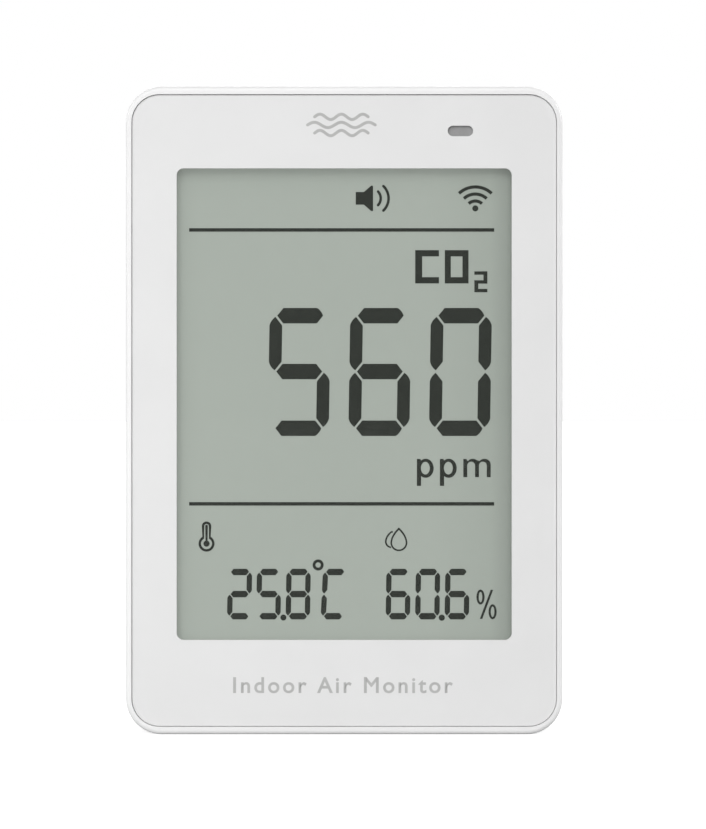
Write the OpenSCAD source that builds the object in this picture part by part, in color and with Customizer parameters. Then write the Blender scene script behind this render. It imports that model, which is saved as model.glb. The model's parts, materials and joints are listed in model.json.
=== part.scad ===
// Desk and wall carbon dioxide monitor: X across, Y from front to back, Z up, on the plane z = 0.

/* [Body] */
// Width of the body
body_w = 62; // [61.5:0.5:66]
// Height of the body
body_h = 92; // [92:0.5:98]
// Depth of the body from rim to back
body_d = 22; // [21.5:0.5:25]
// Plan radius of the body's corners
corner_r = 5.1; // [4.8:0.1:6]
// Wall thickness of the rear housing
wall = 2; // [1.8:0.1:2.2]
// Rounding of the rim round the face
rim_r = 0.6; // [0.4:0.05:0.7]
// Rounding of the back edges
back_r = 2.6; // [1.5:0.1:2.8]

/* [Face] */
// Thickness of the face plate
face_t = 1.5; // [1.4:0.1:1.8]
// Depth of the face below the rim
face_inset = 0.3; // [0.1:0.05:0.4]
// Width of the rim at the sides of the face
rim_side = 0.8; // [0.8:0.05:1.2]
// Width of the rim above and below the face
rim_end = 1.1; // [0.8:0.05:1.3]
// Gap between face plate and rim
face_gap = 0.04; // [0.04:0.02:0.2]
// Width of the display window
window_w = 47.6; // [46:0.2:47.8]
// Height of the display window
window_h = 67; // [64:0.5:67]
// Height of the window's lower edge above the table
window_z = 13.4; // [13.3:0.1:14]
// Plan radius of the window's corners
window_r = 1; // [0.5:0.05:2]
// Length of the status light
light_w = 3.6; // [3:0.1:4.5]
// Height of the status light
light_h = 1.5; // [1.2:0.05:2]

/* [Stand] */
// Width of the fold-out leg
leg_w = 31.8; // [28:0.2:31.8]
// Thickness of the fold-out leg
leg_t = 2.7; // [2.4:0.1:2.8]
// Height of the hinge axis above the table
hinge_z = 61.8; // [58:0.2:62]
// Radius of the hinge pin
pin_r = 0.9; // [0.7:0.05:1]

/* [Ports and vents] */
// Height of the power socket's centre
usb_z = 14.2; // [14:0.1:15]
// Height of the button's centre
button_z = 70; // [68:0.5:71]
// Travel of the button
button_travel = 0.35; // [0.2:0.05:0.4]
// Radius of the hanger's round entry
hanger_r = 3.7; // [3.4:0.1:4]
// Width of the hanger's slot
hanger_slot_w = 4; // [3.4:0.1:4.4]
// Number of vent slots in each rear column
vent_rows = 11; // [6:1:11]
// Distance between vent slots
vent_pitch = 3.2; // [2.8:0.1:3.2]

/* [Hidden] */
$fn = 64;
past = 1; // how far a cut runs past the surface it opens

// Depths, from the front backwards
front_y = -body_d / 2;
back_y = body_d / 2;
mid_z = body_h / 2;
face_y = front_y + face_inset;
ledge_y = face_y + face_t;
inner_back_y = back_y - wall;
inner_w = body_w - 2 * wall;
inner_h = body_h - 2 * wall;
inner_r = corner_r - wall;
face_w = body_w - 2 * (rim_side + face_gap);
face_h = body_h - 2 * (rim_end + face_gap);
face_r = corner_r - rim_end - face_gap;
face_edge_r = 0.15;
rim_edge_r = 0.15;
window_edge_r = 0.2;
window_mid_z = window_z + window_h / 2;

// Skirt behind the face plate
skirt_gap = 0.15;
skirt_t = 1;
skirt_d = 2;

// Display stack, each layer behind the one before. The lens fills a rebate in the back of the face plate.
lens_t = 0.8;
lens_margin = 2;
lens_clear = 0.15;
lens_r = 0.6;
gasket_t = 0.2;
gasket_inset = 0.5;
film_t = 0.2;
film_margin = 1.2;
glass_t = 0.9;
glass_margin_x = 1.8;
glass_top = 1.8;
front_glass_drop = 3.9;
rear_glass_drop = 1.8;
guide_t = 2.8;
guide_top = 1.1;
tray_wall = 0.8;
tray_clear = 0.2;
tray_floor_t = 0.4;
tray_drop = 4.5;
tray_top = 2.9;
lens_y = ledge_y - lens_t;
gasket_y = lens_y + lens_t;
polarizer_y = gasket_y + gasket_t;
front_glass_y = polarizer_y + film_t;
rear_glass_y = front_glass_y + glass_t;
rear_polarizer_y = rear_glass_y + glass_t;
diffuser_y = rear_polarizer_y + film_t;
guide_y = diffuser_y + film_t;
reflector_y = guide_y + guide_t;
tray_floor_y = reflector_y + film_t;
board_y = tray_floor_y + tray_floor_t;
board_t = 1.2;
board_back_y = board_y + board_t;
lens_w = window_w + 2 * lens_margin;
lens_h = window_h + 2 * lens_margin;
film_w = window_w + 2 * film_margin;
film_h = window_h + 2 * film_margin;
glass_w = window_w + 2 * glass_margin_x;
window_top = window_z + window_h;
glass_top_z = window_top + glass_top;
tray_w = glass_w + 2 * (tray_clear + tray_wall);
tray_z0 = window_z - tray_drop;
tray_z1 = window_top + tray_top;
guide_w = window_w + 2 * film_margin;
guide_z0 = window_z - 1.4;
guide_z1 = window_top + guide_top;
backlight_led = [3.8, 1.2, 0.8];
backlight_led_x = [-15, 0, 15];
zebra_w = 46;
zebra_t = 1.6;
zebra_z = window_z - 3.7;
peg_r = 0.7;
peg_x = 25;
peg_zs = [20.3, 76.5];
peg_end = 0.3;

// Status light in the face
light_x = 16.5;
light_z = body_h - 6.3;
light_gap = 0.02;
light_inset = 0.5;
light_flange = 0.8;
light_flange_t = 0.8;
status_led_size = [3.2, 0.8, 1.6];
light_pipe_end = 0.3;

// Main board and its fixings
board_w = 56;
board_edge = 3;
board_h = body_h - 2 * board_edge;
board_r = 2;
screw_x = body_w / 2 - 5.8;
screw_zs = [5.6, body_h - 5.6];
case_boss_r = 2.9;
case_screw_r = 1.15;
case_pilot_r = 0.95;
case_hole_r = 1.35;
case_head_r = 2.1;
case_head_t = 1.5;
case_bite = 3.6;
counterbore_r = 2.4;
counterbore_wall = 1.4;
post_r = 2.6;
seat_y = 3;
seat_t = 0.9;
board_screw_zs = [5.4, body_h - 5.2];
board_boss_r = 2.1;
board_screw_r = 1;
board_pilot_r = 0.8;
board_hole_r = 1.1;
board_head_r = 1.9;
board_head_t = 1.3;
board_bite = 3;
pilot_floor = 1;
slot_w = 0.6;

// Stand
recess_gap = 0.5;
recess_w = leg_w + 2 * recess_gap;
recess_d = 3.8;
recess_wall = 1.4;
recess_r = 2;
recess_floor_y = back_y - recess_d;
recess_top_z = hinge_z + 3.3;
hinge_y = back_y - 1.8;
barrel_r = 1.6;
leg_y1 = back_y - 0.1;
leg_y0 = leg_y1 - leg_t;
leg_z0 = 1.4;
leg_heel = 2.3; // above the hinge axis; its inner edge meets the recess floor and stops the leg
leg_r = 1.8;
leg_edge_r = 0.5;
leg_rim = 1.4;
leg_skin = 1.3;
leg_rib_w = 1.2;
pin_reach = 2.4;
pin_bore_clear = 0.01;
leg_bore_clear = 0.06;
hinge_block_w = 3;
hinge_block_h = 7;
pad_w = 24;
pad_t = 1.6;
pad_h = 1.5;
pad_depth = 0.8;
pad_y = (leg_y0 + leg_y1 - pad_t) / 2;
grip_grooves = 4;
grip_r = 0.8;
grip_d = 0.35;
grip_w = 14;
grip_z = 4.5;
grip_pitch = 2;

// Wall hanger behind the back
hanger_z = 76;
hanger_rise = 5.5;
hanger_pocket_w = 8.8;
hanger_pocket_h = 13;
hanger_pocket_d = 2.8;
hanger_pocket_wall = 1;

// Vents and sound holes
vent_x = 23;
vent_w = 8.6;
vent_h = 1.4;
vent_z = 24;
top_vents = 9;
top_vent_l = 9;
top_vent_y = 1.5;
mesh_t = 0.2;
mesh_margin = 0.8;
buzzer_x = -17;
buzzer_z = 72;
sound_r = 0.6;
sound_ring_r = 2.4;
sound_holes = 6;

// Power socket: a standard 24-contact receptacle
usb_w = 8.94;
usb_h = 3.26;
usb_l = 8.3;
usb_shell_t = 0.3;
usb_mouth_x = body_w / 2 - 0.9;
usb_y = board_back_y + usb_h / 2;
usb_gap = 0.2;
usb_dish_w = 12.8;
usb_dish_h = 7;
usb_dish_d = 0.6;
tongue_w = 6.69;
tongue_h = 0.7;
tongue_inset = 0.9;
usb_base_t = 1.6;

// Side button and its switch
button_w = 9;
button_h = 3.2;
button_gap = 0.2;
button_y = board_back_y + 1.8;
button_inset = 0.05;
button_flange = 0.7;
button_flange_t = 0.85;
flange_gap = 0.05;
dimple_r = 12;
dimple_d = 0.25;
switch_size = [4, 3.5, 6];
switch_x = 22.6;
plunger_size = [1, 1.4, 2.6];
plunger_tail = 0.15;
plunger_gap = 0.1;
switch_notch_w = 1.2;
switch_notch_h = 12.4;

// Gas sensor module
co2_x = -16;
co2_z = 38;
co2_board_w = 20;
co2_board_h = 32;
co2_board_t = 1;
co2_lift = 0.6;
co2_board_y = board_back_y + co2_lift;
chamber_w = 17;
chamber_h = 26;
chamber_d = 5.2;
chamber_wall = 1;
chamber_y = co2_board_y + co2_board_t;
chamber_port = [3.4, 8];
filter_w = 14;
filter_h = 20;
filter_t = 0.3;
lamp_r = 1.5;
lamp_l = 4;
detector_r = 2.1;
detector_h = 2.4;
co2_pin_r = 0.3;
co2_pin_hole_r = 0.45;
co2_pin_pitch = 2.54;
co2_pin_counts = [4, 5];
co2_pin_edge = 1.2;
co2_pin_inset = 0.1;
co2_pin_tail = 0.4;

// Radio module, sounder, climate sensor and small parts
wifi_x = 7;
wifi_z = 70;
wifi_w = 18;
wifi_h = 20;
wifi_board_t = 0.8;
shield_w = 15.8;
shield_h = 13.6;
shield_d = 2.2;
shield_t = 0.25;
buzzer_r = 6;
buzzer_h = 5;
buzzer_wall = 0.9;
buzzer_port_r = 1.3;
diaphragm_t = 0.15;
climate_x = -20;
climate_z = 13;
climate_size = [1.5, 0.6, 1.5];
climate_moat = 3;
moat_w = 0.9;
driver_x = 8;
driver_z = 32;
driver_s = 7;
driver_t = 1.2;
driver_stand = 0.1;
driver_lead = [0.3, 0.15, 1];
driver_leads_per_side = 10;
driver_pitch = 0.6;
regulator_at = [14, 46];
regulator_size = [6.5, 1.6, 3.5];
regulator_tab = [3, 0.25, 1.7];
capacitor_at = [12, 13];
capacitor_r = 2.5;
capacitor_h = 5;
capacitor_base = [5.3, 0.6, 5.3];
inductor_at = [20.5, 30];
inductor_size = [4, 2, 4];
inductor_r = 0.8;
inductor_edge_r = 0.3;
crystal_at = [1, 44];
crystal_size = [3.2, 0.8, 2.5];
chip_size = [1.6, 0.8, 0.8];
capacitor_spots = [[20, 36], [20, 39], [23, 24], [14, 38.5], [1, 38], [1, 35], [1, 32], [13, 22],
    [-3, 62], [-3, 65], [-3, 68], [22, 50], [22, 53], [5, 12]];
resistor_size = [1.6, 0.45, 0.8];
resistor_spots = [[5, 24], [7, 24], [9, 24], [16, 32], [16, 34.5], [5, 52], [8, 52], [11, 52],
    [14, 54], [4, 9], [-8, 12], [-8, 15], [23, 58], [23, 61]];

// ---- Shared shapes ----

// Extrudes a shape drawn in X and Z from depth y0 to depth y1
module layer(y0, y1)
    translate([0, y1, 0]) rotate([90, 0, 0]) linear_extrude(y1 - y0) children();

// Extrudes a shape drawn in Y and Z from x0 to x1
module side_layer(x0, x1)
    translate([x0, 0, 0]) rotate([90, 0, 90]) linear_extrude(x1 - x0) children();

// A straight rod along Y
module rod_y(x, z, r, y0, y1)
    translate([x, y0, z]) rotate([-90, 0, 0]) cylinder(r = r, h = y1 - y0);

// A straight rod along X
module rod_x(y, z, r, x0, x1)
    translate([x0, y, z]) rotate([0, 90, 0]) cylinder(r = r, h = x1 - x0);

// A box centred on x and z, standing on the depth y0
module block(x, z, size, y0)
    translate([x - size[0] / 2, y0, z - size[2] / 2]) cube(size);

module rounded_rect(w, h, r) {
    square([w - 2 * r, h], center = true);
    square([w, h - 2 * r], center = true);
    for (sx = [-1, 1], sy = [-1, 1])
        translate([sx * (w / 2 - r), sy * (h / 2 - r)]) circle(r);
}

// A rounded rectangle whose lower and upper edges are at z0 and z1
module panel(w, z0, z1, r = 0) {
    translate([0, (z0 + z1) / 2])
        if (r > 0) rounded_rect(w, z1 - z0, r);
        else square([w, z1 - z0], center = true);
}

module pill(w, h) {
    square([w - h, h], center = true);
    for (s = [-1, 1]) translate([s * (w - h) / 2, 0]) circle(h / 2);
}

// An upright pill, l high and w deep, extruded from x0 to x1
module side_pill(x0, x1, y, z, l, w)
    side_layer(x0, x1) translate([y, z]) rotate(90) pill(l, w);

// A quarter of a disc, in the quadrant given by the two signs
module quarter_disc(r, su, sv) {
    intersection() {
        circle(r);
        translate([su * r / 2, sv * r / 2]) square(r, center = true);
    }
}

// A rounded rectangular block whose outer section is the child, drawn outwards from the corner axis
module swept_block(w, h, r, y0, y1) {
    translate([r - w / 2, y0, r - h / 2]) cube([w - 2 * r, y1 - y0, h - 2 * r]);
    for (s = [0, 1]) {
        mirror([s, 0, 0]) translate([w / 2 - r, 0, r - h / 2]) linear_extrude(h - 2 * r) children();
        mirror([0, 0, s]) translate([w / 2 - r, 0, h / 2 - r])
            rotate([0, -90, 0]) linear_extrude(w - 2 * r) children();
    }
    for (sx = [0, 1], sz = [0, 1])
        mirror([sx, 0, 0]) mirror([0, 0, sz]) translate([w / 2 - r, 0, h / 2 - r])
            rotate([-90, 0, 0]) rotate([0, 0, -90]) rotate_extrude(angle = 90) children();
}

module rounded_profile(r, y0, y1, front, back) {
    translate([0, y0 + front]) square([r, y1 - y0 - front - back]);
    if (front > 0) {
        translate([0, y0]) square([r - front, front]);
        translate([r - front, y0 + front]) quarter_disc(front, 1, -1);
    }
    if (back > 0) {
        translate([0, y1 - back]) square([r - back, back]);
        translate([r - back, y1 - back]) quarter_disc(back, 1, 1);
    }
}

// A block with rounded corners, and rounded edges at its front and back
module rounded_block(w, h, r, y0, y1, front = 0, back = 0)
    swept_block(w, h, r, y0, y1) rounded_profile(r, y0, y1, front, back);

// The cut for an opening whose front edge, at depth y0, is rounded
module eased_opening(w, h, r, y0, y1, ease) {
    layer(y0 - past, y1) rounded_rect(w, h, r);
    swept_block(w, h, r, y0, y0 + ease) {
        square([r, ease]);
        translate([r, 0]) difference() {
            square(ease);
            translate([ease, ease]) circle(ease);
        }
    }
}

// A pan-head cross-recess screw that points forwards, with its head on the depth seat
module screw(x, z, seat, head_r, head_t, shank_r, length) {
    tip = shank_r;
    crown_r = head_r * 0.72;
    recess_t = head_t * 0.6;
    recess_l = head_r * 1.1;
    difference() {
        union() {
            translate([x, seat, z]) rotate([-90, 0, 0]) cylinder(r1 = head_r, r2 = crown_r, h = head_t);
            rod_y(x, z, shank_r, seat - length + tip, seat);
            translate([x, seat - length, z]) rotate([-90, 0, 0])
                cylinder(r1 = shank_r * 0.3, r2 = shank_r, h = tip);
        }
        for (a = [0, 90]) translate([x, seat + head_t - recess_t, z]) rotate([0, a, 0])
            translate([-recess_l / 2, 0, -slot_w / 2]) cube([recess_l, recess_t + past, slot_w]);
    }
}

module at_case_screws()
    for (s = [-1, 1], z = screw_zs) translate([s * screw_x, 0, z]) children();

// ---- Casing ----

module front_cover() {
    color("gainsboro") difference() {
        union() {
            translate([0, 0, mid_z])
                rounded_block(face_w, face_h, face_r, face_y, ledge_y, face_edge_r);
            layer(ledge_y, ledge_y + skirt_d) difference() {
                translate([0, mid_z])
                    rounded_rect(inner_w - 2 * skirt_gap, inner_h - 2 * skirt_gap, inner_r - skirt_gap);
                translate([0, mid_z])
                    rounded_rect(inner_w - 2 * (skirt_gap + skirt_t), inner_h - 2 * (skirt_gap + skirt_t),
                        inner_r - skirt_gap - skirt_t);
            }
            at_case_screws() rod_y(0, 0, case_boss_r, ledge_y, board_y);
            for (z = board_screw_zs) rod_y(0, z, board_boss_r, ledge_y, board_y);
        }
        translate([0, 0, window_mid_z])
            eased_opening(window_w, window_h, window_r, face_y, ledge_y + past, window_edge_r);
        layer(lens_y, ledge_y + past) translate([0, window_mid_z])
            rounded_rect(lens_w + 2 * lens_clear, lens_h + 2 * lens_clear, lens_r);
        layer(face_y - past, ledge_y + past) translate([light_x, light_z]) pill(light_w, light_h);
        at_case_screws() rod_y(0, 0, case_pilot_r, ledge_y + pilot_floor, board_y + past);
        for (z = board_screw_zs) rod_y(0, z, board_pilot_r, ledge_y + pilot_floor, board_y + past);
    }
}

module housing_shell() {
    difference() {
        translate([0, 0, mid_z]) rounded_block(body_w, body_h, corner_r, front_y, back_y, rim_r, back_r);
        layer(ledge_y, inner_back_y) translate([0, mid_z]) rounded_rect(inner_w, inner_h, inner_r);
        translate([0, 0, mid_z]) eased_opening(face_w + 2 * face_gap, face_h + 2 * face_gap,
            face_r + face_gap, front_y, ledge_y, rim_edge_r);
    }
}

// Tray that closes the stand's recess on the inside, with the two hinge blocks
module stand_tray() {
    layer(recess_floor_y - recess_wall, inner_back_y + wall / 2)
        panel(recess_w + 2 * recess_wall, wall / 2, recess_top_z + recess_wall);
    for (s = [-1, 1])
        layer(recess_floor_y - recess_wall, inner_back_y + wall / 2)
            translate([s * (recess_w / 2 + hinge_block_w / 2), hinge_z])
                square([hinge_block_w, hinge_block_h], center = true);
}

module case_posts() {
    corner = corner_r - wall / 2;
    at_case_screws() rod_y(0, 0, post_r, board_back_y, seat_y);
    for (s = [-1, 1], top = [0, 1]) {
        z = screw_zs[top];
        corner_z = top ? body_h - wall / 2 : wall / 2;
        rod_y(s * screw_x, z, counterbore_r + counterbore_wall, seat_y - seat_t, inner_back_y + wall / 2);
        layer(seat_y - seat_t, inner_back_y + wall / 2)
            intersection() {
                translate([0, mid_z]) rounded_rect(body_w - wall, body_h - wall, corner);
                translate([s * (screw_x + counterbore_r), (z + corner_z) / 2])
                    square([2 * counterbore_r, abs(z - corner_z)], center = true);
            }
    }
}

module hanger_pocket(grow) {
    layer(inner_back_y - hanger_pocket_d - grow, inner_back_y + grow / 2)
        translate([0, hanger_z + hanger_rise / 2])
            square([hanger_pocket_w + 2 * grow, hanger_pocket_h + 2 * grow], center = true);
}

module rear_openings() {
    // stand recess, open at the bottom edge
    layer(recess_floor_y, back_y + past) panel(recess_w, -corner_r, recess_top_z, recess_r);
    rod_x(hinge_y, hinge_z, pin_r + pin_bore_clear,
        -recess_w / 2 - pin_reach, recess_w / 2 + hinge_block_w + past);
    // case screws
    at_case_screws() {
        rod_y(0, 0, case_hole_r, board_back_y - past, seat_y + past);
        rod_y(0, 0, counterbore_r, seat_y, back_y + past);
    }
    // hanger
    rod_y(0, hanger_z, hanger_r, inner_back_y - past, back_y + past);
    layer(inner_back_y - past, back_y + past) {
        translate([0, hanger_z + hanger_rise]) circle(hanger_slot_w / 2);
        translate([0, hanger_z + hanger_rise / 2]) square([hanger_slot_w, hanger_rise], center = true);
    }
    // vents
    for (s = [-1, 1], i = [0 : vent_rows - 1])
        layer(inner_back_y - past, back_y + past)
            translate([s * vent_x, vent_z + i * vent_pitch]) pill(vent_w, vent_h);
    for (i = [0 : top_vents - 1])
        translate([(i - (top_vents - 1) / 2) * vent_pitch, top_vent_y, body_h - wall - past])
            linear_extrude(wall + 2 * past) rotate([0, 0, 90]) pill(top_vent_l, vent_h);
    // sounder
    layer(inner_back_y - past, back_y + past) translate([buzzer_x, buzzer_z]) {
        circle(sound_r);
        for (i = [0 : sound_holes - 1])
            rotate(i * 360 / sound_holes) translate([sound_ring_r, 0]) circle(sound_r);
    }
}

module side_openings() {
    inside_x = body_w / 2 - wall - past;
    outside_x = body_w / 2 + past;
    side_pill(inside_x, outside_x, usb_y, usb_z, usb_w + 2 * usb_gap, usb_h + 2 * usb_gap);
    side_pill(body_w / 2 - usb_dish_d, outside_x, usb_y, usb_z, usb_dish_w, usb_dish_h);
    side_pill(inside_x, outside_x, button_y, button_z,
        button_w + 2 * button_gap, button_h + 2 * button_gap);
}

module rear_housing() {
    color("whitesmoke") difference() {
        union() {
            housing_shell();
            stand_tray();
            case_posts();
            hanger_pocket(hanger_pocket_wall);
        }
        hanger_pocket(0);
        rear_openings();
        side_openings();
    }
}

module case_screws()
    color("silver") at_case_screws()
        screw(0, 0, seat_y, case_head_r, case_head_t, case_screw_r, seat_y - board_y + case_bite);

module board_screws()
    color("silver") for (z = board_screw_zs)
        screw(0, z, board_back_y, board_head_r, board_head_t, board_screw_r, board_t + board_bite);

module vent_meshes() {
    edge = 2 * mesh_margin;
    rows_h = (vent_rows - 1) * vent_pitch;
    side_mesh = [vent_w + edge, mesh_t, rows_h + vent_h + edge];
    top_mesh = [(top_vents - 1) * vent_pitch + vent_h + edge, top_vent_l + edge, mesh_t];
    color("dimgray") {
        for (s = [-1, 1]) block(s * vent_x, vent_z + rows_h / 2, side_mesh, inner_back_y - mesh_t);
        translate([-top_mesh[0] / 2, top_vent_y - top_mesh[1] / 2, body_h - wall - mesh_t]) cube(top_mesh);
    }
}

// ---- Display ----

module display_lens()
    color("azure", 0.3) layer(lens_y, gasket_y) translate([0, window_mid_z])
        rounded_rect(lens_w, lens_h, lens_r);

module display_gasket()
    color("silver") layer(gasket_y, polarizer_y) translate([0, window_mid_z]) difference() {
        square([film_w, film_h], center = true);
        square([window_w + 2 * gasket_inset, window_h + 2 * gasket_inset], center = true);
    }

module lcd_front_polarizer()
    color("darkseagreen") layer(polarizer_y, front_glass_y) translate([0, window_mid_z])
        square([film_w, film_h], center = true);

module lcd_front_glass()
    color("lightcyan", 0.5) layer(front_glass_y, rear_glass_y)
        panel(glass_w, window_z - front_glass_drop, glass_top_z);

module lcd_rear_glass()
    color("lightcyan", 0.5) layer(rear_glass_y, rear_polarizer_y)
        panel(glass_w, window_z - rear_glass_drop, glass_top_z);

module lcd_rear_polarizer()
    color("darkseagreen") layer(rear_polarizer_y, diffuser_y) translate([0, window_mid_z])
        square([film_w, film_h], center = true);

module backlight_diffuser()
    color("white") layer(diffuser_y, guide_y) panel(guide_w, guide_z0, guide_z1);

module light_guide()
    color("honeydew") layer(guide_y, reflector_y) panel(guide_w, guide_z0, guide_z1);

module backlight_reflector()
    color("silver") layer(reflector_y, tray_floor_y) panel(guide_w, guide_z0, guide_z1);

module backlight_leds() {
    led_y = guide_y + (guide_t - backlight_led[1]) / 2;
    color("khaki") for (x = backlight_led_x)
        block(x, guide_z1 + backlight_led[2] / 2, backlight_led, led_y);
}

module display_frame() {
    rim = tray_wall - tray_clear;
    color("white") difference() {
        union() {
            layer(front_glass_y, board_y) panel(tray_w, tray_z0, tray_z1, 0.6);
            for (s = [-1, 1], z = peg_zs)
                rod_y(s * peg_x, z, peg_r, board_y - tray_floor_t / 2, board_back_y + peg_end);
        }
        layer(front_glass_y - past, diffuser_y)
            panel(tray_w - 2 * tray_wall, tray_z0 + rim, tray_z1 - rim);
        layer(diffuser_y - past, tray_floor_y)
            panel(guide_w + 2 * tray_clear, guide_z0 - tray_clear / 2, tray_z1 - rim);
        layer(diffuser_y - past, board_y + past) translate([0, zebra_z + zebra_t / 2])
            square([zebra_w + 2 * tray_clear, zebra_t + tray_clear], center = true);
    }
}

module zebra_connector()
    color("lightpink") layer(rear_glass_y, board_y) translate([0, zebra_z + zebra_t / 2])
        square([zebra_w, zebra_t], center = true);

// ---- Status light ----

module status_light_pipe() {
    led_face = board_y - status_led_size[1] - light_pipe_end;
    color("gray") translate([light_x, 0, light_z]) {
        layer(face_y + light_inset, led_face) pill(light_w - 2 * light_gap, light_h - 2 * light_gap);
        layer(ledge_y, ledge_y + light_flange_t)
            pill(light_w + 2 * light_flange, light_h + 2 * light_flange);
    }
}

module status_led()
    color("khaki") block(light_x, light_z, status_led_size, board_y - status_led_size[1]);

// ---- Main board and what is on it ----

module at_co2_pins()
    for (row = [0, 1], i = [0 : co2_pin_counts[row] - 1])
        translate([co2_x + (i - (co2_pin_counts[row] - 1) / 2) * co2_pin_pitch, 0,
            co2_z + (row ? 1 : -1) * (co2_board_h / 2 - co2_pin_edge)]) children();

module main_board() {
    side = 2 * climate_moat;
    color("seagreen") difference() {
        layer(board_y, board_back_y) translate([0, mid_z]) rounded_rect(board_w, board_h, board_r);
        at_case_screws() rod_y(0, 0, case_hole_r, board_y - past, board_back_y + past);
        for (z = board_screw_zs) rod_y(0, z, board_hole_r, board_y - past, board_back_y + past);
        for (s = [-1, 1], z = peg_zs)
            rod_y(s * peg_x, z, peg_r + tray_clear / 2, board_y - past, board_back_y + past);
        at_co2_pins() rod_y(0, 0, co2_pin_hole_r, board_y - past, board_back_y + past);
        layer(board_y - past, board_back_y + past)
            translate([board_w / 2, button_z]) square([2 * switch_notch_w, switch_notch_h], center = true);
        // slots that keep the board's heat from the climate sensor
        layer(board_y - past, board_back_y + past) translate([climate_x, climate_z]) {
            for (s = [-1, 1]) translate([s * climate_moat, 0]) square([moat_w, side], center = true);
            translate([0, climate_moat]) square([side + moat_w, moat_w], center = true);
        }
    }
}

module wifi_board()
    color("darkslategray") block(wifi_x, wifi_z, [wifi_w, wifi_board_t, wifi_h], board_back_y);

module wifi_shield() {
    y0 = board_back_y + wifi_board_t;
    z = wifi_z - (wifi_h - shield_h) / 2 + (wifi_w - shield_w) / 2;
    color("silver") difference() {
        translate([wifi_x, 0, z]) rounded_block(shield_w, shield_h, 0.6, y0, y0 + shield_d, 0, shield_t);
        block(wifi_x, z, [shield_w - 2 * shield_t, shield_d, shield_h - 2 * shield_t], y0 - shield_t);
    }
}

module co2_sensor_board()
    color("darkgreen") difference() {
        block(co2_x, co2_z, [co2_board_w, co2_board_t, co2_board_h], co2_board_y);
        at_co2_pins() rod_y(0, 0, co2_pin_hole_r, co2_board_y - past, co2_board_y + co2_board_t + past);
    }

module co2_sensor_pins()
    color("gold") at_co2_pins()
        rod_y(0, 0, co2_pin_r, board_y + co2_pin_inset, co2_board_y + co2_board_t + co2_pin_tail);

module co2_optical_chamber() {
    inside_w = chamber_w - 2 * chamber_wall;
    inside_h = chamber_h - 2 * chamber_wall;
    top_y = chamber_y + chamber_d;
    color("goldenrod") difference() {
        translate([co2_x, 0, co2_z]) rounded_block(chamber_w, chamber_h, 1.5, chamber_y, top_y, 0, 0.6);
        difference() {
            block(co2_x, co2_z, [inside_w, chamber_d, inside_h], chamber_y - chamber_wall);
            // wall between the two legs of the folded light path
            block(co2_x, co2_z - chamber_wall, [chamber_wall, chamber_d, inside_h - 2 * detector_r],
                chamber_y - chamber_wall);
        }
        layer(top_y - 2 * chamber_wall, top_y + past)
            for (s = [-1, 1])
                translate([co2_x + s * chamber_w / 4, co2_z])
                    rotate(90) pill(chamber_port[1], chamber_port[0]);
    }
}

module co2_lamp() {
    x = co2_x - chamber_w / 4;
    z = co2_z - chamber_h / 2 + chamber_wall;
    y = chamber_y + chamber_d / 2 - chamber_wall / 2;
    color("lightyellow") {
        translate([x, y, z]) cylinder(r = lamp_r, h = lamp_l);
        translate([x, y, z + lamp_l]) sphere(r = lamp_r);
    }
}

module co2_detector() {
    x = co2_x + chamber_w / 4;
    color("silver") {
        rod_y(x, co2_z - chamber_h / 4, detector_r, chamber_y, chamber_y + detector_h / 4);
        rod_y(x, co2_z - chamber_h / 4, detector_r * 0.86, chamber_y, chamber_y + detector_h);
    }
}

module co2_dust_filter()
    color("white") layer(chamber_y + chamber_d, chamber_y + chamber_d + filter_t)
        translate([co2_x, co2_z]) rounded_rect(filter_w, filter_h, 1.5);

module climate_sensor() {
    top_y = board_back_y + climate_size[1];
    port_r = climate_size[0] / 4;
    color("dimgray") difference() {
        block(climate_x, climate_z, climate_size, board_back_y);
        rod_y(climate_x, climate_z, port_r, top_y - climate_size[1] / 2, top_y + past);
    }
}

module buzzer_case() {
    top_y = board_back_y + buzzer_h;
    color("black") difference() {
        rod_y(buzzer_x, buzzer_z, buzzer_r, board_back_y, top_y);
        rod_y(buzzer_x, buzzer_z, buzzer_r - buzzer_wall, board_back_y + buzzer_wall, top_y - buzzer_wall);
        rod_y(buzzer_x, buzzer_z, buzzer_port_r, top_y - 2 * buzzer_wall, top_y + past);
    }
}

module buzzer_diaphragm()
    color("peru") rod_y(buzzer_x, buzzer_z, buzzer_r - buzzer_wall - diaphragm_t,
        board_back_y + buzzer_h / 2, board_back_y + buzzer_h / 2 + diaphragm_t);

module usb_c_shell()
    color("silver") difference() {
        side_pill(usb_mouth_x - usb_l, usb_mouth_x, usb_y, usb_z, usb_w, usb_h);
        side_pill(usb_mouth_x - usb_l + usb_base_t, usb_mouth_x + past, usb_y, usb_z,
            usb_w - 2 * usb_shell_t, usb_h - 2 * usb_shell_t);
    }

module usb_c_tongue()
    color("black") side_layer(usb_mouth_x - usb_l + usb_base_t, usb_mouth_x - tongue_inset)
        translate([usb_y, usb_z]) square([tongue_h, tongue_w], center = true);

module switch_body() {
    well_w = plunger_size[1] + 2 * plunger_gap;
    well_h = plunger_size[2] + 2 * plunger_gap;
    well_x = switch_x + switch_size[0] - plunger_tail - 2 * button_travel;
    color("black") difference() {
        translate([switch_x, board_back_y, button_z - switch_size[2] / 2]) cube(switch_size);
        translate([well_x, button_y - well_w / 2, button_z - well_h / 2])
            cube([switch_size[0], well_w, well_h]);
    }
}

module switch_plunger() {
    face_x = switch_x + switch_size[0];
    color("ivory") side_layer(face_x - plunger_tail, face_x + plunger_size[0])
        translate([button_y, button_z]) square([plunger_size[1], plunger_size[2]], center = true);
}

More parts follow.
